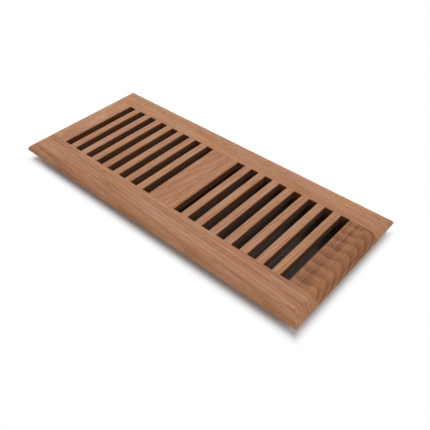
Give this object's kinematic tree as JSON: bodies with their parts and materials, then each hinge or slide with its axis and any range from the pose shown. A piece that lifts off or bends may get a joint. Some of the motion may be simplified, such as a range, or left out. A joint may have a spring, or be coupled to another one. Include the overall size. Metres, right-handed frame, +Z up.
{
  "type": "floor vent",
  "caption": "Drop-in hardwood floor vent: a wide rim with a rounded edge frames upright slats on both sides of a plain centre panel, over a shallow core.",
  "frame": {"origin": "centre of the underside of the core, on which the vent rests", "axes": "+X along the two long rails, to the right in the picture; +Y across the vent, from the near rail to the far one; +Z up through the slots"},
  "size_m": [0.343, 0.146, 0.019],
  "materials": {
    "rail_wood": "unfinished, sanded, straight grain along the rails",
    "end_wood": "unfinished, sanded, open grain across the vent",
    "centre_wood": "unfinished, sanded, open grain across the vent",
    "slat_wood": "unfinished, sanded, straight grain along each slat"
  },
  "bodies": {
    "root": {"front_rail": "rail_wood", "back_rail": "rail_wood", "left_end": "end_wood", "right_end": "end_wood", "centre_panel": "centre_wood", "slat_left_1": "slat_wood", "slat_left_2": "slat_wood", "slat_left_3": "slat_wood", "slat_left_4": "slat_wood", "slat_left_5": "slat_wood", "slat_left_6": "slat_wood", "slat_left_7": "slat_wood", "slat_right_1": "slat_wood", "slat_right_2": "slat_wood", "slat_right_3": "slat_wood", "slat_right_4": "slat_wood", "slat_right_5": "slat_wood", "slat_right_6": "slat_wood", "slat_right_7": "slat_wood"}
  },
  "joints": []
}
